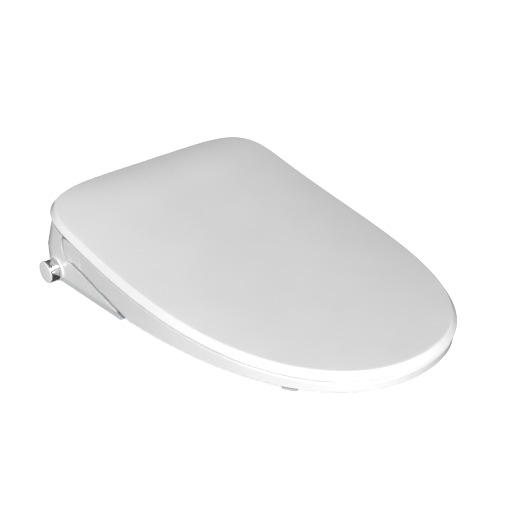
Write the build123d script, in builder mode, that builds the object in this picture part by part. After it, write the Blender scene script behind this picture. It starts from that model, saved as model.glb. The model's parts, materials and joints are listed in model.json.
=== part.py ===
"""Electric bidet seat: lid, heated seat ring, rear housing with two sliding nozzles and a side knob.

Millimetres. The origin is midway between the two bowl bolts on the rim plane; -Y is the front of the seat,
+Z is up, and the knob is on the -X side.
"""
from build123d import *
from math import cos, radians, sin
import os

# ---- driving dimensions: plan outline of the lid, two half superellipses that meet at outline_y
outline_y = -10.2
half_width = 184.2
front_curve = (420.9, 2.151, 3.205)  # reach, power across, power along
rear_curve = (84.5, 5.5, 3.0)
front_y = outline_y - front_curve[0]
rear_y = outline_y + rear_curve[0]

# ---- lid
lid_front_z = 22.6  # height of the lid's lower edge at the front
lid_rise = 73.9
lid_power = 2.192
band_height = 9.2  # bevelled band round the lid
band_inset = 6.2
crown = 7.0
lid_skin = 3.2

# ---- hinge axes, along X
seat_axis = (-9.5, 57.5)
lid_axis = (40.0, 63.0)
hinge_pin_r = 5.0
running = 0.05
hinge_bar_r = 17.2
recess_r = 18.9

# ---- seat
seat_inset = 1.0
seat_gap = 2.5  # dark line between lid and seat
seat_wall = 3.0
seat_bottom_z = 7.0
opening_half_width = 105.0
opening_front_y = -363.0
opening_rear_y = -84.0
cheek_slope = 0.3153
cheek_point = (-24.6, 38.0)
notch = (134.5, 147.5)  # room for the housing's hinge knuckles
knuckle = (136.0, 146.0)

# ---- housing
wall = 3.0
base_half_width = 183.5
base_rear_y = 64.0
base_corner_r = 30.0
tray_z = 0.8
parting_z = 9.0
lean_from_z = 44.0
lean = 0.423  # rear wall leans forward by this much for each unit of height
ear_front_y = -110.0
bay_front_y = -78.0
ear_inner_x = 142.0
ear_slope = 0.3067
bay_slope = 0.2126
slot = (148.5, 161.5)  # lid arm slots
slot_wall = 4.0
slot_floor_z = 49.5
slot_front_y = 22.0

# ---- nozzles
nozzle_x = 13.0
nozzle_r = 6.0
nozzle_tip = (-76.0, 12.3)
nozzle_tilt = 12.0
nozzle_length = 124.0
tip_length = 18.0
barrel_bore_r = 6.35
barrel_r = 8.0
barrel_length = 108.0

# ---- water inlet
inlet = (35.0, 17.5)

inlet_thread = (184.0, 197.5)

# ---- power cable gland, on the rear wall below the open lid
gland_at = (-100.0, 15.5)
gland_neck_r = 5.5

# ---- knob
knob_at = (27.5, 17.3)
knob_r = 15.0
knob_reach = 17.0

os.makedirs("parts", exist_ok=True)


def lower_edge(y):
    """Height of the lid's lower edge above the rim."""
    return lid_front_z + lid_rise * (max(y - front_y, 0) / (rear_y - front_y)) ** lid_power


def outline_point(degrees, inset=0):
    """A point of the plan outline: 0 degrees is the rear, 90 the +X side, 180 the front."""
    across = sin(radians(degrees))
    along = cos(radians(degrees))
    reach, power_x, power_y = rear_curve if along > 0 else front_curve
    low = 0.0
    high = half_width + reach
    for _ in range(60):
        r = (low + high) / 2
        size = (r * across / (half_width - inset)) ** power_x + (abs(r * along) / (reach - inset)) ** power_y
        low, high = (r, high) if size < 1 else (low, r)
    return (low * across, outline_y + low * along)


def outline(inset, z):
    """The lid's outline as a face at height z."""
    with BuildSketch(Plane.XY.offset(z)) as plan:
        with BuildLine():
            Spline(*[outline_point(a, inset) for a in range(0, 181, 6)], tangents=[(1, 0), (-1, 0)])
            mirror(about=Plane.YZ)
        make_face()
    return plan.sketch


def opening(grow, z):
    """The seat's opening, longer than wide and fuller at the front."""
    middle = (opening_front_y + opening_rear_y) / 2
    half_long = (opening_rear_y - opening_front_y) / 2 + grow
    half_wide = opening_half_width + grow
    points = []
    for degrees in range(0, 181, 9):
        across = sin(radians(degrees))
        along = cos(radians(degrees))
        size = (across ** 2.3 + abs(along) ** 2.3) ** (-1 / 2.3)
        points.append((half_wide * across * size, middle + half_long * along * size))
    with BuildSketch(Plane.XY.offset(z)) as plan:
        with BuildLine():
            Spline(*points, tangents=[(1, 0), (-1, 0)])
            mirror(about=Plane.YZ)
        make_face()
    return plan.sketch


def edge_band(low, high, start=-445.0, stop=95.0):
    """Side view of the space between the lid's lower edge plus low and plus high, in the YZ plane."""
    steps = 12
    ys = [start + (stop - start) * i / steps for i in range(steps + 1)]
    with BuildSketch(Plane.YZ) as side:
        with BuildLine():
            upper = Spline(*[(y, lower_edge(y) + high) for y in ys])
            lower = Spline(*[(y, lower_edge(y) + low) for y in ys])
            Line(upper @ 0, lower @ 0)
            Line(upper @ 1, lower @ 1)
        make_face()
    return side.sketch


def polygon_x(points, x_from, x_to):
    """A prism along X from a polygon of (y, z) points."""
    with BuildPart() as prism:
        with BuildSketch(Plane.YZ.offset(x_from)):
            with BuildLine():
                Polyline(*points, close=True)
            make_face()
        extrude(amount=x_to - x_from)
    return prism.part


def tube_x(at, r, x_from, x_to, bore=0.0):
    """A round bar along X at (y, z), with a bore if one is given."""
    with BuildPart() as bar:
        with BuildSketch(Plane.YZ.offset(x_from)):
            with Locations(at):
                Circle(r)
                if bore:
                    Circle(bore, mode=Mode.SUBTRACT)
        extrude(amount=x_to - x_from)
    return bar.part


def block(x, y, z):
    """A box given by its three (low, high) pairs."""
    with BuildPart() as box:
        with BuildSketch(Plane.XY.offset(z[0])):
            with Locations(((x[0] + x[1]) / 2, (y[0] + y[1]) / 2)):
                Rectangle(x[1] - x[0], y[1] - y[0])
        extrude(amount=z[1] - z[0])
    return box.part


def post(at, r, z, bore=0.0):
    """An upright round post at (x, y) between two heights."""
    with BuildPart() as round_post:
        with BuildSketch(Plane.XY.offset(z[0])):
            with Locations(at):
                Circle(r)
                if bore:
                    Circle(bore, mode=Mode.SUBTRACT)
        extrude(amount=z[1] - z[0])
    return round_post.part


def both_sides(shape):
    """The shape and its mirror image in the YZ plane."""
    return [shape, mirror(shape, about=Plane.YZ)]


def write(part, name):
    part.label = name
    export_step(part, f"parts/{name}.step")


# ================================================================ lid
def lid_top(lift):
    """The lid's softly domed top, or its underside, as one smooth surface."""
    rows = []
    for i in range(16):
        y = -445 + 36 * i
        reach = rear_curve[0] if y > outline_y else front_curve[0]
        along = 1 - abs((y - outline_y) / reach) ** 3
        xs = [-200 + 40 * j for j in range(11)]
        rows.append([(x, y, lower_edge(y) + lift + crown * (1 - (x / half_width) ** 2) * along) for x in xs])
    return Face.make_surface_from_array_of_points(rows, tol=0.05)


with BuildPart() as lid_block:
    extrude(outline(0, 10), amount=120)
    split(bisect_by=lid_top(band_height), keep=Keep.TOP)
    lid_crown = faces().sort_by(Axis.Z)[-1]
    chamfer(lid_crown.edges(), length=band_inset, length2=band_height, reference=lid_crown)
    extrude(edge_band(0, 60), amount=200, both=True, mode=Mode.INTERSECT)

with BuildPart() as lid_hollow:
    extrude(outline(lid_skin, 5), amount=125)
    split(bisect_by=lid_top(band_height - lid_skin), keep=Keep.TOP)
    hollow_crown = faces().sort_by(Axis.Z)[-1]
    chamfer(hollow_crown.edges(), length=band_inset - 1, length2=band_height - lid_skin, reference=hollow_crown)

lid_arm_x = (slot[0] + 1.5, slot[1] - 1.5)
lid_arm_r = 11.0
with BuildPart() as lid_arm:
    add(polygon_x([(28.5, 66.0), (51.5, 66.0), (56.0, 94.5), (26.0, 87.0)], *lid_arm_x))
    add(tube_x(lid_axis, lid_arm_r, *lid_arm_x))
    extrude(outline(0.5, 10), amount=120, mode=Mode.INTERSECT)

with BuildPart() as lid:
    add(lid_block.part)
    add(lid_hollow.part, mode=Mode.SUBTRACT)
    add(both_sides(lid_arm.part))
    for side in both_sides(tube_x(lid_axis, hinge_pin_r + running, lid_arm_x[0] - 1, lid_arm_x[1] + 1)):
        add(side, mode=Mode.SUBTRACT)
write(lid.part, "lid")

# ================================================================ housing cover
def base_plan(inset, rear, z):
    """Plan outline of the housing at one height, with rounded rear corners."""
    half = base_half_width - inset
    back = rear - inset
    corner = base_corner_r - inset
    front = -130.0
    with BuildSketch(Plane.XY.offset(z)) as plan:
        with BuildLine():
            Line((-half + 1.8, front), (half - 1.8, front))
            Line((half - 1.8, front), (half, 10))
            Line((half, 10), (half, back - corner))
            RadiusArc((half, back - corner), (half - corner, back), -corner)
            Line((half - corner, back), (-half + corner, back))
            RadiusArc((-half + corner, back), (-half, back - corner), -corner)
            Line((-half, back - corner), (-half, 10))
            Line((-half, 10), (-half + 1.8, front))
        make_face()
    return plan.sketch


def housing_side(inset, slope, start_y, floor):
    """Side view of the housing: sloping front, round recess for the seat's hinge bar, and the high rear."""
    r = recess_r + inset
    sy, sz = seat_axis
    angle = Vector(1, slope).get_angle(Vector(1, 0))
    touch = (sy + r * sin(radians(angle)), sz - r * cos(radians(angle)))
    top_z = 71.5 - inset
    top_y = sy + (r ** 2 - (top_z - sz) ** 2) ** 0.5
    middle = (sy + r * cos(radians(-15)), sz + r * sin(radians(-15)))
    ys = [top_y + (95 - top_y) * i / 6 for i in range(7)]
    lift = -seat_gap - inset
    with BuildSketch(Plane.YZ) as side:
        with BuildLine():
            Line((start_y, floor), (start_y, touch[1] - slope * (touch[0] - start_y)))
            Line((start_y, touch[1] - slope * (touch[0] - start_y)), touch)
            ThreePointArc(touch, middle, (top_y, top_z))
            Line((top_y, top_z), (top_y, lower_edge(top_y) + lift + 0.001))
            roof = Spline((top_y, lower_edge(top_y) + lift + 0.001),
                          *[(y, lower_edge(y) + lift) for y in ys[1:]])
            Polyline(roof @ 1, (95, floor), (start_y, floor))
        make_face()
    return side.sketch


def housing(inset, floor):
    """The housing's outer form, or the hollow inside it when it is inset."""
    high_z = 100.0
    with BuildPart() as body:
        extrude(base_plan(inset, base_rear_y, floor), amount=lean_from_z - floor)
        loft([base_plan(inset, base_rear_y, lean_from_z),
              base_plan(inset, base_rear_y - lean * (high_z - lean_from_z), high_z)], ruled=True)
        extrude(housing_side(inset, bay_slope, -129, floor - 1), amount=200, both=True, mode=Mode.INTERSECT)
        add(block((-ear_inner_x + inset, ear_inner_x - inset), (-140, bay_front_y + inset), (floor - 2, 90)),
            mode=Mode.SUBTRACT)
        add(block((-200, 200), (-140, ear_front_y + inset), (floor - 2, 90)), mode=Mode.SUBTRACT)
    with BuildPart() as ear_room:
        extrude(housing_side(inset, ear_slope, -129, -50), amount=200, both=True)
    with BuildPart() as ear_cut:
        add(block((ear_inner_x - inset - 2, 200), (-140, -4.0), (floor - 2, 60)))
        add(ear_room.part, mode=Mode.SUBTRACT)
    with BuildPart() as shaped:
        add(body.part)
        for side in both_sides(ear_cut.part):
            add(side, mode=Mode.SUBTRACT)
    return shaped.part


slot_box = block((slot[0] - slot_wall, slot[1] + slot_wall), (slot_front_y - wall, 90), (slot_floor_z - wall, 110))
slot_ramp = [(41.0, slot_floor_z + 1), (41.0, slot_floor_z), (75.0, 38.0), (75.0, slot_floor_z + 1)]
ramp_box = polygon_x([(y, z - wall - 0.3) for y, z in slot_ramp], slot[0] - slot_wall, slot[1] + slot_wall)
with BuildPart() as cover_hollow:
    add(housing(wall, parting_z - 2))
    for side in both_sides(slot_box) + both_sides(ramp_box):
        add(side, mode=Mode.SUBTRACT)

screw_places = [(66, 57.5), (-66, 57.5), (126, 57.5), (-126, 57.5)]
boss_top = 40.0
with BuildPart() as rear_cover:
    add(housing(0, parting_z + 0.2))
    add(cover_hollow.part, mode=Mode.SUBTRACT)
    slot_cut = block(slot, (slot_front_y, 90), (slot_floor_z, 110))
    for side in both_sides(slot_cut) + both_sides(polygon_x(slot_ramp, *slot)):
        add(side, mode=Mode.SUBTRACT)
    for side in both_sides(tube_x(seat_axis, 9.0, *knuckle)):
        add(side)
    neck = polygon_x([(-9.5, 66.5), (10.5, 66.0), (10.5, 44.0), (-9.5, 48.5)], *knuckle)
    for side in both_sides(neck):
        add(side)
    for side in both_sides(tube_x(seat_axis, hinge_pin_r, knuckle[0] - 1, knuckle[1] + 1)):
        add(side, mode=Mode.SUBTRACT)
    for side in both_sides(tube_x(lid_axis, hinge_pin_r + running, slot[0] - 6, slot[1] + 6)):
        add(side, mode=Mode.SUBTRACT)
    for place in screw_places:
        add(post(place, 4.0, (parting_z + 0.2, boss_top)))
        add(post(place, 1.5, (parting_z, 30)), mode=Mode.SUBTRACT)
    add(block((-24, 24), (bay_front_y - 2, bay_front_y + wall + 1), (parting_z - 1, 23.0)), mode=Mode.SUBTRACT)
    add(tube_x(knob_at, 9.0, -190, -175), mode=Mode.SUBTRACT)
    add(tube_x(inlet, 10.6, 175, 190), mode=Mode.SUBTRACT)
    add(block((175, 190), (-12, 12), (10.5, 22.5)), mode=Mode.SUBTRACT)
    with BuildSketch(Plane.XZ.offset(-70)):
        with Locations(gland_at):
            Circle(gland_neck_r)
    extrude(amount=15, mode=Mode.SUBTRACT)
write(rear_cover.part, "rear_cover")

# ================================================================ tray and mounting
plate_half = 95.0
plate_y = (-36.0, 33.0)
plate_thick = 5.0
tray_inset = 1.2
with BuildPart() as tray_form:
    extrude(base_plan(tray_inset, base_rear_y, tray_z), amount=parting_z - tray_z)
    add(block((-ear_inner_x + tray_inset, ear_inner_x - tray_inset), (-140, bay_front_y + tray_inset), (0, 20)),
        mode=Mode.SUBTRACT)
    add(block((-200, 200), (-140, ear_front_y + tray_inset), (0, 20)), mode=Mode.SUBTRACT)
    with BuildSketch(Plane.YZ):
        with BuildLine():
            Polyline((-115, 0), (-115, 1.6), (-100, 6.4), (-80, 12), (95, 12), (95, 0), close=True)
        make_face()
    extrude(amount=200, both=True, mode=Mode.INTERSECT)
with BuildPart() as tray_room:
    extrude(base_plan(tray_inset + wall, base_rear_y, tray_z + 2.5), amount=20)
    add(block((-ear_inner_x - wall, ear_inner_x + wall), (-140, bay_front_y + wall + tray_inset), (0, 40)),
        mode=Mode.SUBTRACT)
    add(block((-200, 200), (-140, ear_front_y + wall + 6), (0, 40)), mode=Mode.SUBTRACT)
with BuildPart() as base_tray:
    add(tray_form.part)
    add(tray_room.part, mode=Mode.SUBTRACT)
    add(block((-plate_half - 3, plate_half + 3), (plate_y[0] - 3, plate_y[1] + 3), (tray_z, plate_thick + 2.5)))
    add(block((-plate_half - 0.5, plate_half + 0.5), (plate_y[0] - 0.5, plate_y[1] + 0.5), (0, plate_thick)),
        mode=Mode.SUBTRACT)
    add(block((-24, 24), (bay_front_y - 2, bay_front_y + 12), (4.0, 20)), mode=Mode.SUBTRACT)
    add(tube_x(inlet, 10.6, 175, 190), mode=Mode.SUBTRACT)
    add(tube_x(knob_at, 9.0, -190, -175), mode=Mode.SUBTRACT)
    for place in screw_places:
        add(post(place, 4.0, (tray_z, parting_z)))
        add(post(place, 1.5, (0, 12)), mode=Mode.SUBTRACT)
        add(post(place, 3.2, (0, 3.0)), mode=Mode.SUBTRACT)
write(base_tray.part, "base_tray")

bolt_spacing = 147.0
bolt_slot = (30.0, 12.0)
with BuildPart() as mounting_plate:
    with BuildSketch():
        with Locations((0, (plate_y[0] + plate_y[1]) / 2)):
            RectangleRounded(2 * plate_half, plate_y[1] - plate_y[0], 6)
        with Locations((-bolt_spacing / 2, 0), (bolt_spacing / 2, 0)):
            SlotOverall(*bolt_slot, mode=Mode.SUBTRACT)
        with Locations((0, -2)):
            RectangleRounded(70, 34, 5, mode=Mode.SUBTRACT)
    extrude(amount=plate_thick)
write(mounting_plate.part, "mounting_plate")

pad_places = [(163, -74), (-163, -74), (130, 46), (-130, 46)]
with BuildPart() as foot_pads:
    for place in pad_places:
        add(post(place, 8.0, (0, tray_z)))
write(foot_pads.part, "foot_pads")

with BuildPart() as housing_screws:
    for place in screw_places:
        add(post(place, 3.0, (1.0, 3.0)))
        add(post(place, 1.5, (3.0, 24)))
write(housing_screws.part, "housing_screws")

# ================================================================ nozzles
tilt = radians(nozzle_tilt)
nozzle_dir = (0, -cos(tilt), -sin(tilt))


def nozzle_plane(x, back):
    """Plane across a nozzle, set back along it from the tip, facing the front."""
    y = nozzle_tip[0] + back * cos(tilt)
    z = nozzle_tip[1] + back * sin(tilt)
    return Plane(origin=(x, y, z), x_dir=(1, 0, 0), z_dir=nozzle_dir)


def nozzle_tube(x, start, stop, r, bore=0.0):
    """A round length of nozzle between two distances behind the tip."""
    with BuildPart() as piece:
        with BuildSketch(nozzle_plane(x, stop)):
            Circle(r)
            if bore:
                Circle(bore, mode=Mode.SUBTRACT)
        extrude(amount=stop - start)
    return piece.part


for name, x in (("rear_nozzle", nozzle_x), ("front_nozzle", -nozzle_x)):
    with BuildPart() as wand:
        add(nozzle_tube(x, tip_length, nozzle_length, nozzle_r, 2.2))
        add(nozzle_tube(x, tip_length - 8, tip_length, 3.8, 2.2))
    write(wand.part, name)
    with BuildPart() as tip:
        add(nozzle_tube(x, 0, tip_length, nozzle_r))
        fillet(edges().filter_by(GeomType.CIRCLE).group_by(Axis.Y)[0], 2.5)
        add(nozzle_tube(x, tip_length - 8, tip_length, 3.8), mode=Mode.SUBTRACT)
        add(nozzle_tube(x, 5, tip_length - 8, 2.2), mode=Mode.SUBTRACT)
        with BuildSketch(Plane.XY.offset(nozzle_tip[1] + 1)):
            with Locations((x, nozzle_tip[0] + 7.5)):
                Circle(1.1)
        extrude(amount=12, mode=Mode.SUBTRACT)
    write(tip.part, name + "_tip")

barrel_start = 20.0
with BuildPart() as nozzle_barrels:
    for x in (nozzle_x, -nozzle_x):
        add(nozzle_tube(x, barrel_start, barrel_start + barrel_length, barrel_r))
    for y in (-46, 20):
        middle_z = nozzle_tip[1] + (y - nozzle_tip[0]) * sin(tilt) / cos(tilt)
        foot_z = plate_thick + 2.5 if y > plate_y[0] - 3 else tray_z + 2.5
        add(block((-16, 16), (y - 4, y + 4), (foot_z, middle_z)))
    for x in (nozzle_x, -nozzle_x):
        add(nozzle_tube(x, barrel_start - 2, barrel_start + barrel_length - 3, barrel_bore_r), mode=Mode.SUBTRACT)
        add(nozzle_tube(x, barrel_start, barrel_start + barrel_length + 2, 2.5), mode=Mode.SUBTRACT)
write(nozzle_barrels.part, "nozzle_barrels")

with BuildPart() as nozzle_wipers:
    for x in (nozzle_x, -nozzle_x):
        add(nozzle_tube(x, barrel_start - 2, barrel_start, barrel_r, nozzle_r + 0.1))
write(nozzle_wipers.part, "nozzle_wipers")

# ================================================================ knob and control valve
ky, kz = knob_at
with BuildPart() as knob_ring:
    add(tube_x(knob_at, 16.5, -base_half_width - 2.0, -base_half_width, 5.0))
    add(tube_x(knob_at, 8.9, -base_half_width, -base_half_width + 4.0, 5.0))
write(knob_ring.part, "knob_ring")

knob_back = -base_half_width - 2.4
knob_front = -base_half_width - knob_reach
sleeve_front = knob_front + 2.2
cap_seat = knob_front + 4.2
cap_r = 14.4
cap_spigot_r = 12.2
cap_groove = 0.7  # dark line between the cap and the sleeve
with BuildPart() as knob_sleeve:
    add(tube_x(knob_at, knob_r, sleeve_front, knob_back))
    fillet(edges().filter_by(GeomType.CIRCLE).group_by(Axis.X)[0], 0.5)
    add(tube_x(knob_at, cap_spigot_r, sleeve_front - 1, cap_seat), mode=Mode.SUBTRACT)
    add(tube_x(knob_at, 4.0, knob_front, knob_back + 1), mode=Mode.SUBTRACT)
write(knob_sleeve.part, "knob_sleeve")

with BuildPart() as knob_cap:
    add(tube_x(knob_at, cap_r, knob_front, sleeve_front - cap_groove))
    fillet(edges().filter_by(GeomType.CIRCLE).group_by(Axis.X)[0], 0.5)
    add(tube_x(knob_at, cap_spigot_r, sleeve_front - cap_groove, cap_seat))
write(knob_cap.part, "knob_cap")

valve_x = (-172.0, -132.0)
with BuildPart() as valve_spindle:
    add(tube_x(knob_at, 4.0, cap_seat, valve_x[0] + 26))
write(valve_spindle.part, "valve_spindle")

with BuildPart() as control_valve_body:
    add(block(valve_x, (ky - 13, ky + 13), (3.3, 34)))
    add(tube_x(knob_at, 4.0 + running, valve_x[0] - 1, valve_x[0] + 28), mode=Mode.SUBTRACT)
    add(tube_x((34, 28), 4.0, valve_x[1], valve_x[1] + 8))
write(control_valve_body.part, "control_valve_body")

# ================================================================ release button
with BuildPart() as release_button:
    add(block((base_half_width - 7, base_half_width), (-11.5, 11.5), (11.0, 22.0)))
    add(block((base_half_width - 14, base_half_width - 7), (-14, 14), (9.5, 24.0)))
write(release_button.part, "release_button")

# ================================================================ water side
with BuildPart() as inlet_connector:
    add(tube_x(inlet, 10.2, 175, inlet_thread[0]))
    add(tube_x(inlet, 10.48, *inlet_thread))
    add(block((164, 175), (inlet[0] - 11, inlet[0] + 11), (4.5, 30.5)))
    add(tube_x(inlet, 7.6, 168, 199), mode=Mode.SUBTRACT)
    add(tube_x(inlet, 4.0, 160, 170), mode=Mode.SUBTRACT)
write(inlet_connector.part, "inlet_connector")

with BuildPart() as inlet_filter:
    add(tube_x(inlet, 7.4, 176, 190, 6.2))
write(inlet_filter.part, "inlet_filter")

with BuildPart() as solenoid_valve:
    add(block((134, 164), (inlet[0] - 12, inlet[0] + 12), (5.5, 29.5)))
    add(tube_x(inlet, 4.0, 128, 165), mode=Mode.SUBTRACT)
write(solenoid_valve.part, "solenoid_valve")

with BuildPart() as solenoid_coil:
    add(post((149, inlet[0]), 9.5, (29.5, 44.0)))
write(solenoid_coil.part, "solenoid_coil")

with BuildPart() as flow_sensor:
    add(tube_x(inlet, 11.0, 112, 134, 4.0))
write(flow_sensor.part, "flow_sensor")

tank_x = (38.0, 108.0)
with BuildPart() as heater_tank:
    add(block(tank_x, (18, 50), (9.0, 66)))
    fillet(edges().filter_by(Axis.Z), 6)
    add(block((tank_x[0] + 3, tank_x[1] - 3), (21, 47), (12, 63)), mode=Mode.SUBTRACT)
    add(tube_x(inlet, 4.0, tank_x[1] - 4, tank_x[1] + 4.0))
    add(tube_x(inlet, 3.0, tank_x[1] - 5, tank_x[1] + 5.0), mode=Mode.SUBTRACT)
    add(tube_x((34, 58), 4.0, tank_x[0] - 6, tank_x[0] + 1))
    add(tube_x((34, 58), 3.0, tank_x[0] - 7, tank_x[0] + 4), mode=Mode.SUBTRACT)
write(heater_tank.part, "heater_tank")

with BuildPart() as heater_element:
    with BuildLine():
        FilletPolyline((60, 34, 62.9), (60, 34, 20), (86, 34, 20), (86, 34, 62.9), radius=10)
    with BuildSketch(Plane.XY.offset(62.9)):
        with Locations((60, 34)):
            Circle(3.2)
    sweep()
write(heater_element.part, "heater_element")

with BuildPart() as tank_thermostat:
    add(post((73, 34), 7.0, (66.0, 72.0)))
write(tank_thermostat.part, "tank_thermostat")

with BuildPart() as vacuum_breaker:
    add(tube_x((34, 58), 7.0, 16, tank_x[0] - 6, 3.0))
write(vacuum_breaker.part, "vacuum_breaker")


def hose(points, radius):
    """A round hose of 7 mm outside diameter along straight runs with rounded corners."""
    with BuildPart() as run:
        with BuildLine() as route:
            FilletPolyline(*points, radius=radius)
        with BuildSketch(Plane(origin=route.line @ 0, z_dir=route.line % 0)):
            Circle(3.5)
            Circle(2.0, mode=Mode.SUBTRACT)
        sweep()
    return run.part


valve_port = (valve_x[1] + 8, 34, 28)
with BuildPart() as supply_hose:
    add(hose([(16, 34, 58), (-24, 34, 58), (-36, 34, 28), valve_port], 8))
write(supply_hose.part, "supply_hose")

for name, x in (("rear_wash_elbow", nozzle_x), ("front_wash_elbow", -nozzle_x)):
    with BuildPart() as wash_hose:
        add(nozzle_tube(x, barrel_start + barrel_length, barrel_start + barrel_length + 6, 5.0, 2.5))
    write(wash_hose.part, name)

# ================================================================ electrical side
with BuildPart() as control_board:
    add(block((-124, -40), (18, 50), (38.0, 39.6)))
    for x, y, size, high in ((-110, 34, 16, 12), (-84, 34, 14, 16), (-62, 30, 10, 8), (-50, 40, 8, 10)):
        add(block((x - size / 2, x + size / 2), (y - size / 2, y + size / 2), (39.6, 39.6 + high)))
write(control_board.part, "control_board")

with BuildPart() as board_posts:
    for x, y in ((-120, 22), (-44, 22), (-120, 46), (-44, 46)):
        foot_z = plate_thick + 2.5 if abs(x) < plate_half + 3 and y < plate_y[1] + 3 else tray_z + 2.5
        add(post((x, y), 3.0, (foot_z, 38.0)))
write(board_posts.part, "board_posts")

with BuildPart() as transformer:
    add(block((-114, -92), (40, 56), (3.3, 12)))
    add(block((-90, -66), (2, 18), (7.5, 30)))
write(transformer.part, "transformer")

with BuildPart() as power_gland:
    with BuildSketch(Plane.XZ.offset(-72)):
        with Locations(gland_at):
            Circle(7.0)
            Circle(3.5, mode=Mode.SUBTRACT)
    extrude(amount=8)
    with BuildSketch(Plane.XZ.offset(-64)):
        with Locations(gland_at):
            Circle(gland_neck_r)
            Circle(3.5, mode=Mode.SUBTRACT)
    extrude(amount=6)
write(power_gland.part, "power_gland")

# ================================================================ hinges
pin_x = (100.0, 158.0)
with BuildPart() as seat_hinge_pins:
    for side in both_sides(tube_x(seat_axis, hinge_pin_r, *pin_x)):
        add(side)
write(seat_hinge_pins.part, "seat_hinge_pins")

damper_x = (101.0, 126.0)
with BuildPart() as seat_dampers:
    for side in both_sides(tube_x(seat_axis, 10.0, *damper_x, hinge_pin_r + running)):
        add(side)
write(seat_dampers.part, "seat_dampers")

shaft_x = (118.0, slot[1] + slot_wall)
with BuildPart() as lid_hinge_shafts:
    for side in both_sides(tube_x(lid_axis, hinge_pin_r, *shaft_x)):
        add(side)
write(lid_hinge_shafts.part, "lid_hinge_shafts")

with BuildPart() as lid_dampers:
    for side in both_sides(tube_x(lid_axis, 10.0, 118, slot[0] - slot_wall, hinge_pin_r + running)):
        add(side)
write(lid_dampers.part, "lid_dampers")

# ================================================================ seat
def seat_side():
    """Side view of the seat: flat bottom, rising cheek edge, round hinge end, and the top under the lid."""
    sy, sz = seat_axis
    rise_y = cheek_point[0] + (seat_bottom_z - cheek_point[1]) / cheek_slope
    join = (-14.7, 41.1)
    end = (sy + 12.0, sz + (hinge_bar_r ** 2 - 12.0 ** 2) ** 0.5)
    low = (sy + hinge_bar_r * cos(radians(-40)), sz + hinge_bar_r * sin(radians(-40)))
    ys = [-445 + (sy + 445) * i / 10 for i in range(11)]
    with BuildSketch(Plane.YZ) as side:
        with BuildLine():
            Line((-445, seat_bottom_z), (rise_y, seat_bottom_z))
            Line((rise_y, seat_bottom_z), join)
            ThreePointArc(join, low, end)
            top = Spline(*[(y, lower_edge(y) - seat_gap) for y in ys])
            Line(end, top @ 1)
            Line(top @ 0, (-445, seat_bottom_z))
        make_face()
    return side.sketch


seat_screw_places = [(160, -150), (-160, -150), (148, -270), (-148, -270)]
bay_clear = polygon_x([(opening_rear_y + 1.0, 0), (opening_rear_y + 1.0, 25.5), (-20.0, 38.6),
                       (-4, 36), (30, 36), (30, 0)], -ear_inner_x - 5.5, ear_inner_x + 5.5)
with BuildPart() as seat_form:
    extrude(outline(seat_inset, 0), amount=100)
    extrude(seat_side(), amount=200, both=True, mode=Mode.INTERSECT)
    extrude(opening(0, 0), amount=100, mode=Mode.SUBTRACT)
    add(bay_clear, mode=Mode.SUBTRACT)
with BuildPart() as seat_room:
    extrude(outline(seat_inset + seat_wall, 0), amount=100)
    extrude(edge_band(-90, -seat_gap - seat_wall, -445, -30), amount=200, both=True, mode=Mode.INTERSECT)
    extrude(opening(seat_wall, 0), amount=100, mode=Mode.SUBTRACT)
    add(block((-200, 200), (-125, 100), (0, 100)), mode=Mode.SUBTRACT)
with BuildPart() as bridge_room:
    add(polygon_x([(-80.0, 30.0), (-80.0, 48.0), (-36.0, 58.0), (-34.0, 42.0)], -120, 120))
with BuildPart() as seat_upper:
    add(seat_form.part)
    add(seat_room.part, mode=Mode.SUBTRACT)
    add(bridge_room.part, mode=Mode.SUBTRACT)
    for place in seat_screw_places:
        add(post(place, 4.0, (seat_bottom_z, lower_edge(place[1]) - seat_gap - 1)))
        add(post(place, 1.6, (0, 17.0)), mode=Mode.SUBTRACT)
    for side in both_sides(block(notch, (-32, 30), (20, 100))):
        add(side, mode=Mode.SUBTRACT)
    for side in both_sides(tube_x(seat_axis, 10.0, *damper_x)):
        add(side, mode=Mode.SUBTRACT)
    for side in both_sides(tube_x(seat_axis, hinge_pin_r + running, pin_x[0] - 0.3, pin_x[1] + 0.3)):
        add(side, mode=Mode.SUBTRACT)
write(seat_upper.part, "seat_upper")

with BuildPart() as seat_lower:
    extrude(outline(9.0, 3.5), amount=3.5)
    extrude(opening(0, 0), amount=20, mode=Mode.SUBTRACT)
    add(block((-200, 200), (-124, 100), (0, 100)), mode=Mode.SUBTRACT)
    for place in seat_screw_places:
        add(post(place, 1.6, (0, 10)), mode=Mode.SUBTRACT)
        add(post(place, 3.0, (0, 5.0)), mode=Mode.SUBTRACT)
write(seat_lower.part, "seat_lower")

with BuildPart() as seat_heater:
    extrude(outline(26.0, 0), amount=100)
    extrude(edge_band(-seat_gap - seat_wall - 0.8, -seat_gap - seat_wall, -445, -30), amount=200, both=True,
            mode=Mode.INTERSECT)
    extrude(opening(22.0, 0), amount=100, mode=Mode.SUBTRACT)
    add(block((-200, 200), (-128, 100), (0, 100)), mode=Mode.SUBTRACT)
write(seat_heater.part, "seat_heater")

bumper_places = [(124, -342), (-124, -342), (146, -190), (-146, -190)]
with BuildPart() as seat_bumpers:
    for place in bumper_places:
        with BuildSketch():
            with Locations(place):
                SlotOverall(18, 10, rotation=60 if place[0] * place[1] < 0 else -60)
        extrude(amount=3.5)
write(seat_bumpers.part, "seat_bumpers")

with BuildPart() as occupancy_sensor:
    add(block((-20, 20), (-72, -46), (44.0, 47.0)))
write(occupancy_sensor.part, "occupancy_sensor")

with BuildPart() as seat_screws:
    for place in seat_screw_places:
        add(post(place, 3.0, (3.5, 5.0)))
        add(post(place, 1.6, (5.0, 17.0)))
write(seat_screws.part, "seat_screws")

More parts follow.
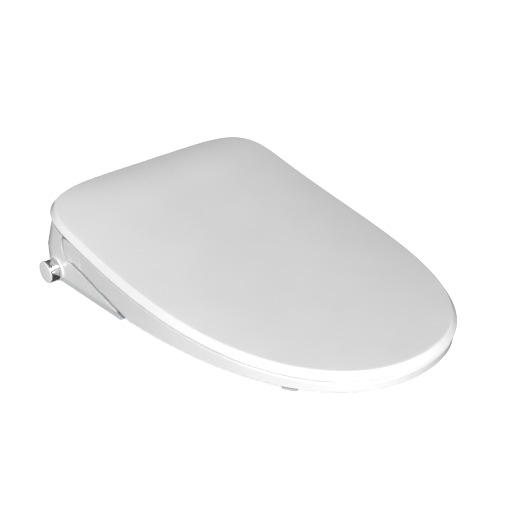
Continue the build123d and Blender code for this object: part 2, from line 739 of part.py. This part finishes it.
with BuildPart() as lid_pads:
    for place in [(112, -352), (-112, -352), (150, -180), (-150, -180)]:
        reach = 1 - abs((place[1] - 6 - outline_y) / front_curve[0]) ** 3
        swell = crown * (1 - ((abs(place[0]) + 6) / half_width) ** 2) * reach
        under = lower_edge(place[1] - 6) + band_height - lid_skin + swell
        add(post(place, 6.0, (lower_edge(place[1] + 6) - seat_gap + 0.4, under - 0.1)))
write(lid_pads.part, "lid_pads")
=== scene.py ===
"""Electric bidet seat: lid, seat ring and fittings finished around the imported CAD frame. Metres, +Z up."""
import json
from math import cos, pi, radians, sin

import bmesh
import bpy
import numpy as np
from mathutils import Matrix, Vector


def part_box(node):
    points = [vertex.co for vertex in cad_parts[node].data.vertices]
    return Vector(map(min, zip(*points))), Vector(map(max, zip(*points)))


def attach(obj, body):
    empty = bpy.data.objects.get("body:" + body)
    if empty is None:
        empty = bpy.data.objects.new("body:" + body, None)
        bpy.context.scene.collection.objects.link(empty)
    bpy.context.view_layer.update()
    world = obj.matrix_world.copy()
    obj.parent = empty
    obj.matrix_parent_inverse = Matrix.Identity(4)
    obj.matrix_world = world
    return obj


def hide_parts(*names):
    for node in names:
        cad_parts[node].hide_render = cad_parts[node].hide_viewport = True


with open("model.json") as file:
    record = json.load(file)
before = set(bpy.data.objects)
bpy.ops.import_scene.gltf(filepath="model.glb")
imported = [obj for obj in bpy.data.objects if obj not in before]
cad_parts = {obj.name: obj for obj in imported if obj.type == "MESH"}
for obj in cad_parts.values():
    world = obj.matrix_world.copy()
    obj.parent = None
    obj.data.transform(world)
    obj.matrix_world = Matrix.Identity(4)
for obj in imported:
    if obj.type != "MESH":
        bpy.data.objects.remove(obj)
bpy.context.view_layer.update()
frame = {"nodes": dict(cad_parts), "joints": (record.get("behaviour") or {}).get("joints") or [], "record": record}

nodes = frame["nodes"]
MM = 0.001

# ---------------------------------------------------------------- plan outline, worked out from the lid's box
lid_low, lid_high = [np.array(c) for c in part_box("lid")]
HALF_WIDTH = lid_high[0]
FRONT_Y, REAR_Y = lid_low[1], lid_high[1]
JOIN_Y = REAR_Y - 84.5 * MM  # where the front and rear halves of the outline meet
FRONT_POWERS = (2.151, 3.205)
REAR_POWERS = (5.5, 3.0)
EDGE_FRONT_Z = 22.6 * MM  # lid's lower edge at the front, and how much it rises to the rear
EDGE_RISE = 73.9 * MM
EDGE_POWER = 2.192
BAND_HEIGHT = 9.2 * MM
BAND_INSET = 6.2 * MM
CROWN = 6.5 * MM
SKIN = 3.2 * MM


def edge_z(y):
    """Height of the lid's lower edge."""
    run = np.clip((np.asarray(y, float) - FRONT_Y) / (REAR_Y - FRONT_Y), 0, None)
    return EDGE_FRONT_Z + EDGE_RISE * run ** EDGE_POWER


def outline_size(x, y):
    """1 on the outline, less inside it."""
    along = np.asarray(y, float) - JOIN_Y
    front = (np.abs(x) / HALF_WIDTH) ** FRONT_POWERS[0] + (np.abs(along) / (JOIN_Y - FRONT_Y)) ** FRONT_POWERS[1]
    rear = (np.abs(x) / HALF_WIDTH) ** REAR_POWERS[0] + (np.abs(along) / (REAR_Y - JOIN_Y)) ** REAR_POWERS[1]
    return np.where(along < 0, front, rear)


def even_loop(points, count):
    """The same closed loop with count points evenly spaced along it."""
    closed = np.vstack([points, points[:1]])
    length = np.concatenate([[0], np.cumsum(np.linalg.norm(np.diff(closed, axis=0), axis=1))])
    at = np.linspace(0, length[-1], count, endpoint=False)
    return np.stack([np.interp(at, length, closed[:, i]) for i in range(2)], axis=1)


def outline_loop(count):
    """Plan outline of the lid, counter-clockwise from the rear centre."""
    angles = np.linspace(0, 2 * pi, 2400, endpoint=False)
    low = np.zeros_like(angles)
    high = np.full_like(angles, 0.6)
    for _ in range(50):
        middle = (low + high) / 2
        inside = outline_size(-np.sin(angles) * middle, JOIN_Y + np.cos(angles) * middle) < 1
        low = np.where(inside, middle, low)
        high = np.where(inside, high, middle)
    return even_loop(np.stack([-np.sin(angles) * low, JOIN_Y + np.cos(angles) * low], axis=1), count)


def inset_loop(loop, amount):
    """A loop moved inward along its own normals."""
    along = np.roll(loop, -1, axis=0) - np.roll(loop, 1, axis=0)
    along /= np.linalg.norm(along, axis=1)[:, None]
    return loop + amount * np.stack([-along[:, 1], along[:, 0]], axis=1)


# ---------------------------------------------------------------- mesh helpers
def mesh_object(name, vertices, faces, smooth=True, sharp=35):
    """A mesh object from points and faces, shaded smooth except across edges sharper than the angle."""
    mesh = bpy.data.meshes.new(name)
    mesh.from_pydata([tuple(map(float, v)) for v in vertices], [], [tuple(map(int, f)) for f in faces])
    mesh.update()
    shaped = bmesh.new()
    shaped.from_mesh(mesh)
    bmesh.ops.remove_doubles(shaped, verts=shaped.verts, dist=1e-6)
    bmesh.ops.recalc_face_normals(shaped, faces=shaped.faces)
    for face in shaped.faces:
        face.smooth = smooth
    for edge in shaped.edges:
        edge.smooth = len(edge.link_faces) < 2 or edge.calc_face_angle(0) < radians(sharp)
    shaped.to_mesh(mesh)
    shaped.free()
    obj = bpy.data.objects.new(name, mesh)
    bpy.context.scene.collection.objects.link(obj)
    return obj


def ring_strip(rings):
    """Vertices and quads that join closed rings of equal length one after another."""
    count = len(rings[0])
    faces = []
    for k in range(len(rings) - 1):
        for i in range(count):
            j = (i + 1) % count
            faces.append((k * count + i, k * count + j, (k + 1) * count + j, (k + 1) * count + i))
    return np.vstack(rings), faces


def lathe_x(name, centre, profile, segments=72):
    """A solid of revolution about an axis along X; the profile is (x, radius) and starts and ends on the axis."""
    turns = np.linspace(0, 2 * pi, segments, endpoint=False)
    rings = [np.stack([np.full(segments, x), centre[0] + r * np.cos(turns), centre[1] + r * np.sin(turns)], axis=1)
             for x, r in profile]
    return mesh_object(name, *ring_strip(rings), sharp=40)


def plate_x(name, outline, x_from, x_to, soften):
    """A flat plate across X with softened edges, from a (y, z) outline."""
    count = len(outline)
    points = [(x, y, z) for x in (x_from, x_to) for y, z in outline]
    faces = [tuple(range(count)), tuple(range(2 * count - 1, count - 1, -1))]
    faces += [(i, i + count, (i + 1) % count + count, (i + 1) % count) for i in range(count)]
    obj = mesh_object(name, points, faces, sharp=30)
    bevel(obj, soften, 3, 30)
    return obj


def bevel(obj, width, segments=2, angle=32):
    """Rounds the edges sharper than the angle, with normals that keep the flat faces flat."""
    soft = obj.modifiers.new("soft edges", "BEVEL")
    soft.width = width
    soft.segments = segments
    soft.limit_method = "ANGLE"
    soft.angle_limit = radians(angle)
    soft.harden_normals = True
    soft.use_clamp_overlap = True


def ride_as(obj, body, slot, *replaced):
    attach(obj, body)
    if replaced:
        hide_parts(*replaced)


# ---------------------------------------------------------------- camera, floor and light
CAMERA_AT = Vector((-0.6886, -0.9017, 0.5988))
LOOK_AT = Vector((0.0489, -0.0999, 0.0))
camera = bpy.data.objects.new("camera", bpy.data.cameras.new("camera"))
camera.data.lens = 64.3
camera.data.sensor_width = 36.0
camera.data.clip_start = 0.05
camera.location = CAMERA_AT
camera.rotation_euler = (LOOK_AT - CAMERA_AT).to_track_quat("-Z", "Y").to_euler()
bpy.context.scene.collection.objects.link(camera)
bpy.context.scene.camera = camera
bpy.context.scene.view_settings.view_transform = "Standard"


def area_light(name, at, towards, size, power):
    data = bpy.data.lights.new(name, "AREA")
    data.shape = "RECTANGLE"
    data.size, data.size_y = size
    data.energy = power
    lamp = bpy.data.objects.new(name, data)
    lamp.location = at
    lamp.rotation_euler = (Vector(towards) - Vector(at)).to_track_quat("-Z", "Y").to_euler()
    bpy.context.scene.collection.objects.link(lamp)


area_light("key_softbox", (-0.78, -2.0, 1.75), (0, -0.2, 0.05), (1.2, 1.2), 56)
area_light("side_softbox", (-2.5, -0.6, 0.32), (0, -0.2, 0.05), (1.2, 0.4), 24)
area_light("rear_softbox", (0.9, 2.6, 0.4), (0, 0, 0.05), (1.4, 0.4), 16)
area_light("front_softbox", (-0.2, -2.7, 0.25), (0, -0.2, 0.05), (1.4, 0.3), 12)

world = bpy.data.worlds.new("studio")
bpy.context.scene.world = world
world.use_nodes = True
sky = world.node_tree
sky.nodes.clear()
sky_out = sky.nodes.new("ShaderNodeOutputWorld")
sky_light = sky.nodes.new("ShaderNodeBackground")
sky_light.inputs["Strength"].default_value = 1.0
sky_place = sky.nodes.new("ShaderNodeTexCoord")
sky_facing = sky.nodes.new("ShaderNodeVectorMath")  # brightest low at the front on the knob side
sky_facing.operation = "DOT_PRODUCT"
sky_facing.inputs[1].default_value = Vector((-0.62, -0.78, 0.0)).normalized()
sky_scale = sky.nodes.new("ShaderNodeMapRange")
sky_scale.inputs["From Min"].default_value = -1.0
sky_ramp = sky.nodes.new("ShaderNodeValToRGB")
sky_ramp.color_ramp.elements[0].position = 0.0
sky_ramp.color_ramp.elements[0].color = (*(0.10,) * 3, 1)
sky_ramp.color_ramp.elements[1].position = 0.95
sky_ramp.color_ramp.elements[1].color = (*(0.40,) * 3, 1)
sky_middle = sky_ramp.color_ramp.elements.new(0.55)
sky_middle.color = (*(0.18,) * 3, 1)
sky.links.new(sky_place.outputs["Generated"], sky_facing.inputs[0])
sky.links.new(sky_facing.outputs["Value"], sky_scale.inputs["Value"])
sky.links.new(sky_scale.outputs[0], sky_ramp.inputs[0])
sky.links.new(sky_ramp.outputs["Color"], sky_light.inputs["Color"])
backdrop = sky.nodes.new("ShaderNodeBackground")
backdrop.inputs["Color"].default_value = (1, 1, 1, 1)
backdrop.inputs["Strength"].default_value = 1.0
seen = sky.nodes.new("ShaderNodeLightPath")
sky_mix = sky.nodes.new("ShaderNodeMixShader")
sky.links.new(seen.outputs["Is Camera Ray"], sky_mix.inputs[0])
sky.links.new(sky_light.outputs[0], sky_mix.inputs[1])
sky.links.new(backdrop.outputs[0], sky_mix.inputs[2])
sky.links.new(sky_mix.outputs[0], sky_out.inputs["Surface"])

FLOOR_HALF = 6.0
floor = mesh_object("floor", [(-FLOOR_HALF, -FLOOR_HALF, -0.0004), (FLOOR_HALF, -FLOOR_HALF, -0.0004),
                              (FLOOR_HALF, FLOOR_HALF, -0.0004), (-FLOOR_HALF, FLOOR_HALF, -0.0004)], [(0, 1, 2, 3)])
floor_finish = bpy.data.materials.new("pale_floor")
floor_finish.use_nodes = True
floor_tree = floor_finish.node_tree
floor_tree.nodes.clear()
floor_out = floor_tree.nodes.new("ShaderNodeOutputMaterial")
floor_seen = floor_tree.nodes.new("ShaderNodeLightPath")
floor_mix = floor_tree.nodes.new("ShaderNodeMixShader")
floor_pale = floor_tree.nodes.new("ShaderNodeAddShader")
floor_glow = floor_tree.nodes.new("ShaderNodeEmission")
floor_glow.inputs["Strength"].default_value = 0.78
floor_white = floor_tree.nodes.new("ShaderNodeBsdfDiffuse")
floor_white.inputs["Color"].default_value = (0.85, 0.85, 0.85, 1)
floor_dim = floor_tree.nodes.new("ShaderNodeBsdfDiffuse")
floor_dim.inputs["Color"].default_value = (0.45, 0.45, 0.45, 1)
floor_dark = floor_tree.nodes.new("ShaderNodeBsdfDiffuse")  # what polished pieces mirror: a darker studio floor
floor_dark.inputs["Color"].default_value = (0.07, 0.07, 0.07, 1)
floor_gloss = floor_tree.nodes.new("ShaderNodeMixShader")
floor_tree.links.new(floor_seen.outputs["Is Camera Ray"], floor_mix.inputs[0])
floor_tree.links.new(floor_seen.outputs["Is Glossy Ray"], floor_gloss.inputs[0])
floor_tree.links.new(floor_dim.outputs[0], floor_gloss.inputs[1])
floor_tree.links.new(floor_dark.outputs[0], floor_gloss.inputs[2])
floor_tree.links.new(floor_gloss.outputs[0], floor_mix.inputs[1])
floor_tree.links.new(floor_white.outputs[0], floor_pale.inputs[0])
floor_tree.links.new(floor_glow.outputs[0], floor_pale.inputs[1])
floor_tree.links.new(floor_pale.outputs[0], floor_mix.inputs[2])
floor_tree.links.new(floor_mix.outputs[0], floor_out.inputs["Surface"])
floor.data.materials.append(floor_finish)


# ---------------------------------------------------------------- materials
def finish(name, dark, light, rough, metallic=0.0, coat=0.0, grain=600.0, bump=0.02, patch=14.0, spec=0.5,
           stretch=(1, 1, 1)):
    """A moulded, cast or brushed surface: two close tones in soft patches, uneven roughness and fine relief."""
    material = bpy.data.materials.new(name)
    material.use_nodes = True
    tree = material.node_tree
    shader = tree.nodes["Principled BSDF"]
    place = tree.nodes.new("ShaderNodeTexCoord")
    mapping = tree.nodes.new("ShaderNodeMapping")
    mapping.inputs["Scale"].default_value = stretch
    tree.links.new(place.outputs["Object"], mapping.inputs["Vector"])
    patches = tree.nodes.new("ShaderNodeTexNoise")
    patches.inputs["Scale"].default_value = patch
    patches.inputs["Detail"].default_value = 3
    tree.links.new(mapping.outputs[0], patches.inputs["Vector"])
    tones = tree.nodes.new("ShaderNodeValToRGB")
    tones.color_ramp.elements[0].position = 0.3
    tones.color_ramp.elements[1].position = 0.7
    tones.color_ramp.elements[0].color = (*dark, 1)
    tones.color_ramp.elements[1].color = (*light, 1)
    tree.links.new(patches.outputs["Fac"], tones.inputs[0])
    tree.links.new(tones.outputs["Color"], shader.inputs["Base Color"])
    fine = tree.nodes.new("ShaderNodeTexNoise")
    fine.inputs["Scale"].default_value = grain
    fine.inputs["Detail"].default_value = 2
    tree.links.new(mapping.outputs[0], fine.inputs["Vector"])
    uneven = tree.nodes.new("ShaderNodeMapRange")
    uneven.inputs["To Min"].default_value = rough[0]
    uneven.inputs["To Max"].default_value = rough[1]
    tree.links.new(patches.outputs["Fac"], uneven.inputs["Value"])
    tree.links.new(uneven.outputs[0], shader.inputs["Roughness"])
    relief = tree.nodes.new("ShaderNodeBump")
    relief.inputs["Strength"].default_value = bump
    relief.inputs["Distance"].default_value = 0.0004
    tree.links.new(fine.outputs["Fac"], relief.inputs["Height"])
    tree.links.new(relief.outputs[0], shader.inputs["Normal"])
    shader.inputs["Metallic"].default_value = metallic
    shader.inputs["Coat Weight"].default_value = coat
    shader.inputs["Coat Roughness"].default_value = 0.06
    shader.inputs["Specular IOR Level"].default_value = spec
    return material


def grey(value):
    return (value, value, value)


FINISHES = {
    "white_gloss": finish("white_gloss", grey(0.77), grey(0.80), (0.16, 0.22), coat=0.35, bump=0.012),
    "grey_tray": finish("grey_tray", (0.60, 0.61, 0.62), (0.64, 0.65, 0.66), (0.30, 0.38), bump=0.05),
    "white_matte": finish("white_matte", grey(0.70), grey(0.76), (0.42, 0.52), bump=0.06),
    "grey_plastic": finish("grey_plastic", (0.10, 0.105, 0.11), (0.13, 0.135, 0.14), (0.45, 0.55), bump=0.12),
    "rubber": finish("rubber", grey(0.55), grey(0.60), (0.6, 0.75), bump=0.15),
    "steel": finish("steel", grey(0.55), grey(0.66), (0.22, 0.34), metallic=1.0, grain=300, bump=0.05,
                    stretch=(0.15, 1, 1)),
    "brass": finish("brass", (0.70, 0.50, 0.22), (0.80, 0.60, 0.30), (0.2, 0.32), metallic=1.0, bump=0.04),
    "copper_coil": finish("copper_coil", (0.03, 0.03, 0.035), (0.05, 0.05, 0.055), (0.4, 0.5), bump=0.1),
    "chrome": finish("chrome", grey(0.80), grey(0.88), (0.02, 0.05), metallic=1.0, bump=0.004),
    "satin": finish("satin", grey(0.86), grey(0.90), (0.30, 0.36), metallic=0.1, bump=0.03),
    "board_green": finish("board_green", (0.012, 0.09, 0.04), (0.02, 0.13, 0.06), (0.35, 0.5), patch=120, bump=0.08),
    "heater_foil": finish("heater_foil", (0.70, 0.42, 0.22), (0.80, 0.52, 0.30), (0.25, 0.4), metallic=0.9, bump=0.1),
}


def dress(obj, slot):
    obj.data.materials.clear()
    obj.data.materials.append(FINISHES[slot])


slot_of = {s["node"]: s["material_slot"] for s in frame["record"]["subparts"]}
for name, obj in nodes.items():
    for place in obj.material_slots:
        place.material = FINISHES[slot_of[name]]

# ---------------------------------------------------------------- lid
LOOP = outline_loop(420)


def lid_ring(inset, lift):
    loop = inset_loop(LOOP, inset)
    return np.column_stack([loop, edge_z(loop[:, 1]) + lift])


def dome_rings(inset, lift, steps):
    """Rings that close the domed top, or the underside, inside its crease."""
    crease = inset_loop(LOOP, inset)
    rings = []
    for k in range(1, steps + 1):
        size = 1 - (k / steps) ** 1.35
        x = crease[:, 0] * size
        y = JOIN_Y + (crease[:, 1] - JOIN_Y) * size
        rings.append(np.column_stack([x, y, edge_z(y) + lift + CROWN * (1 - max(size, 0) ** 3)]))
    return rings


def lid_shell():
    """One moulded skin: domed top, crisp bevelled band, rolled lower lip, and the underside."""
    outside = [(SKIN, 0.35 * MM), (SKIN - 0.4 * MM, 0.0), (0.7 * MM, 0.0), (0.25 * MM, 0.2 * MM), (0.02 * MM, 0.7 * MM),
               (0.55 * MM, 1.5 * MM), (2.3 * MM, 4.1 * MM), (4.1 * MM, 6.6 * MM), (5.5 * MM, 8.5 * MM),
               (5.95 * MM, 8.98 * MM), (6.6 * MM, 9.35 * MM), (7.6 * MM, 9.6 * MM)]
    inside = [(SKIN, 0.35 * MM), (SKIN + 0.3 * MM, 1.5 * MM), (SKIN + 4.4 * MM, 5.4 * MM), (SKIN + 6.0 * MM, 6.3 * MM)]
    rings = [lid_ring(*r) for r in outside] + dome_rings(7.6 * MM, 9.6 * MM, 46)
    under = [lid_ring(*r) for r in inside] + dome_rings(SKIN + 6.0 * MM, 6.3 * MM, 24)
    rings = under[::-1] + rings[1:]
    return mesh_object("lid_shell", *ring_strip(rings), sharp=60)


lid_shell_piece = lid_shell()
dress(lid_shell_piece, "white_gloss")
ride_as(lid_shell_piece, "lid", "white_gloss", "lid")

LID_AXIS = next(j["pos_m"] for j in frame["joints"] if j["name"] == "lid_hinge")
ARM_X = (150.0 * MM, 160.0 * MM)
ARM_R = 11.0 * MM


def arm_outline():
    """Side view of a lid arm: round about the hinge, widening up to the lid's underside."""
    y, z = LID_AXIS[1], LID_AXIS[2]
    rounded = [(y + ARM_R * sin(a), z - ARM_R * cos(a)) for a in np.linspace(-radians(100), radians(96), 26)]
    top = [(y + 16 * MM, float(edge_z(y + 16 * MM)) + 6 * MM), (y - 14 * MM, float(edge_z(y - 14 * MM)) + 6 * MM)]
    return rounded + top


for side, label in ((1, "left"), (-1, "right")):
    x_pair = sorted((side * ARM_X[0], side * ARM_X[1]))
    arm = plate_x("lid_arm_" + label, arm_outline(), *x_pair, 1.0 * MM)
    dress(arm, "white_gloss")
    ride_as(arm, "lid", "white_gloss")

# ---------------------------------------------------------------- seat ring
seat_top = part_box("seat_upper")
SEAT_GAP = 2.5 * MM
OPENING = (-363.0 * MM, -84.0 * MM, 105.0 * MM, 2.3)
HINGE_Y = -9.5 * MM
EAR_TOP = (-3.96 * MM, 39.43 * MM)  # where the housing's sloping ears begin, and their fall towards the front
EAR_SLOPE = 0.3067


def opening_size(x, y):
    """1 on the edge of the seat's opening, more outside it."""
    front, rear, half, power = OPENING
    along = (y - (front + rear) / 2) / ((rear - front) / 2)
    return (np.abs(x / half) ** power + np.abs(along) ** power) ** (1 / power)


def seat_ring():
    """The seat remeshed from its CAD form, with its edges rounded and its top crowned."""
    source = nodes["seat_upper"]
    mesh = source.data.copy()
    obj = bpy.data.objects.new("seat_ring", mesh)
    bpy.context.scene.collection.objects.link(obj)
    remesh = obj.modifiers.new("remesh", "REMESH")
    remesh.mode = "VOXEL"
    remesh.voxel_size = 1.5 * MM
    smooth = obj.modifiers.new("smooth", "SMOOTH")
    smooth.factor = 0.5
    smooth.iterations = 4
    graph = bpy.context.evaluated_depsgraph_get()
    done = bpy.data.meshes.new_from_object(obj.evaluated_get(graph))
    obj.modifiers.clear()
    obj.data = done
    count = len(done.vertices)
    at = np.empty(count * 3)
    done.vertices.foreach_get("co", at)
    at = at.reshape(-1, 3)
    normal = np.empty(count * 3)
    done.vertex_normals.foreach_get("vector", normal)
    normal = normal.reshape(-1, 3)
    top = edge_z(at[:, 1]) - SEAT_GAP
    near_top = np.clip((at[:, 2] - (top - 5 * MM)) / (4 * MM), 0, 1)
    outer = np.clip(1 - outline_size(at[:, 0], at[:, 1]), 0, 1)
    inner = np.clip(opening_size(at[:, 0], at[:, 1]) - 1, 0, 1)
    rise = 7.0 * MM * (1 - np.exp(-outer / 0.16)) * (1 - np.exp(-inner / 0.16))
    dip = -6.0 * MM * np.exp(-inner / 0.10) * np.clip(1 - outline_size(at[:, 0], at[:, 1]), 0, 1) ** 0.5
    fade = np.clip((HINGE_Y - 26 * MM - at[:, 1]) / (40 * MM), 0, 1)
    fade = fade * fade * (3 - 2 * fade)
    at[:, 2] += (rise + dip) * near_top * fade
    wall = np.clip((top - at[:, 2]) / np.maximum(top - 7 * MM, 1 * MM), 0, 1)
    outward = np.clip((outline_size(at[:, 0], at[:, 1]) - 0.9) / 0.06, 0, 1) * (at[:, 1] < HINGE_Y)
    at[:, 0] -= np.sign(at[:, 0]) * np.abs(normal[:, 0]) * 1.7 * MM * wall * outward * (at[:, 1] < -30 * MM)
    at[:, 1] += np.where(at[:, 1] < -30 * MM, -normal[:, 1], 0) * 1.7 * MM * wall * outward
    ear_line = EAR_TOP[1] + EAR_SLOPE * (at[:, 1] - EAR_TOP[0])
    over_ear = (np.abs(at[:, 0]) > 143 * MM) & (at[:, 1] > -125 * MM) & (at[:, 1] < -20 * MM)
    low_lip = np.clip(1 - (at[:, 2] - ear_line - 1.7 * MM) / (3.5 * MM), 0, 1) * (at[:, 2] > ear_line)
    at[:, 2] += 1.4 * MM * low_lip * over_ear * np.clip((-20 * MM - at[:, 1]) / (30 * MM), 0, 1)
    done.vertices.foreach_set("co", at.ravel())
    for face in done.polygons:
        face.use_smooth = True
    done.update()
    return obj


seat_piece = seat_ring()
dress(seat_piece, "white_gloss")
ride_as(seat_piece, "seat", "white_gloss", "seat_upper")

# ---------------------------------------------------------------- knob
knob_low, knob_high = [np.array(c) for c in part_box("knob_sleeve")]
cap_low, cap_high = [np.array(c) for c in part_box("knob_cap")]
KNOB_AT = ((knob_low[1] + knob_high[1]) / 2, (knob_low[2] + knob_high[2]) / 2)
KNOB_R = (knob_high[1] - knob_low[1]) / 2
KNOB_FRONT, KNOB_BACK = knob_low[0], knob_high[0]


def knob_sleeve():
    """Chrome sleeve with softened ends and a shallow groove near its root."""
    front, back, r = KNOB_FRONT, KNOB_BACK, KNOB_R
    profile = [(front + 2.0 * MM, 0), (front + 2.0 * MM, r - 2.8 * MM), (front, r - 2.7 * MM), (front, r - 0.7 * MM),
               (front + 0.15 * MM, r - 0.35 * MM), (front + 0.4 * MM, r - 0.1 * MM), (front + 0.8 * MM, r),
               (back - 3.2 * MM, r), (back - 2.9 * MM, r - 0.4 * MM), (back - 2.5 * MM, r - 0.4 * MM),
               (back - 2.2 * MM, r), (back - 0.5 * MM, r), (back, r - 0.5 * MM), (back, 0)]
    return lathe_x("knob_chrome", KNOB_AT, profile)


def knob_cap():
    """Satin end cap, very slightly domed, standing just clear of the sleeve."""
    front, seat = cap_low[0], cap_high[0]
    r, rear = (cap_high[1] - cap_low[1]) / 2, KNOB_FRONT - 0.7 * MM
    profile = [(seat, 0), (seat, KNOB_R - 2.9 * MM), (rear, KNOB_R - 2.9 * MM), (rear, r - 0.1 * MM),
               (rear - 0.15 * MM, r), (front + 0.75 * MM, r), (front + 0.5 * MM, r - 0.1 * MM),
               (front + 0.33 * MM, r - 0.35 * MM), (front + 0.26 * MM, r - 0.8 * MM), (front + 0.12 * MM, r * 0.6),
               (front + 0.03 * MM, r * 0.3), (front, 0)]
    return lathe_x("knob_end_cap", KNOB_AT, profile)


for make, slot, node in ((knob_sleeve, "chrome", "knob_sleeve"), (knob_cap, "satin", "knob_cap")):
    piece = make()
    dress(piece, slot)
    ride_as(piece, "knob", slot, node)

# ---------------------------------------------------------------- soft edges on the CAD shells
EDGE_WIDTHS = {"rear_cover": 0.7, "base_tray": 0.5, "release_button": 0.6, "knob_ring": 0.4, "mounting_plate": 0.6,
               "seat_lower": 0.6, "seat_bumpers": 0.8, "lid_pads": 0.6, "foot_pads": 0.2, "power_gland": 0.5,
               "inlet_connector": 0.4}
for name, width in EDGE_WIDTHS.items():
    bevel(nodes[name], width * MM)
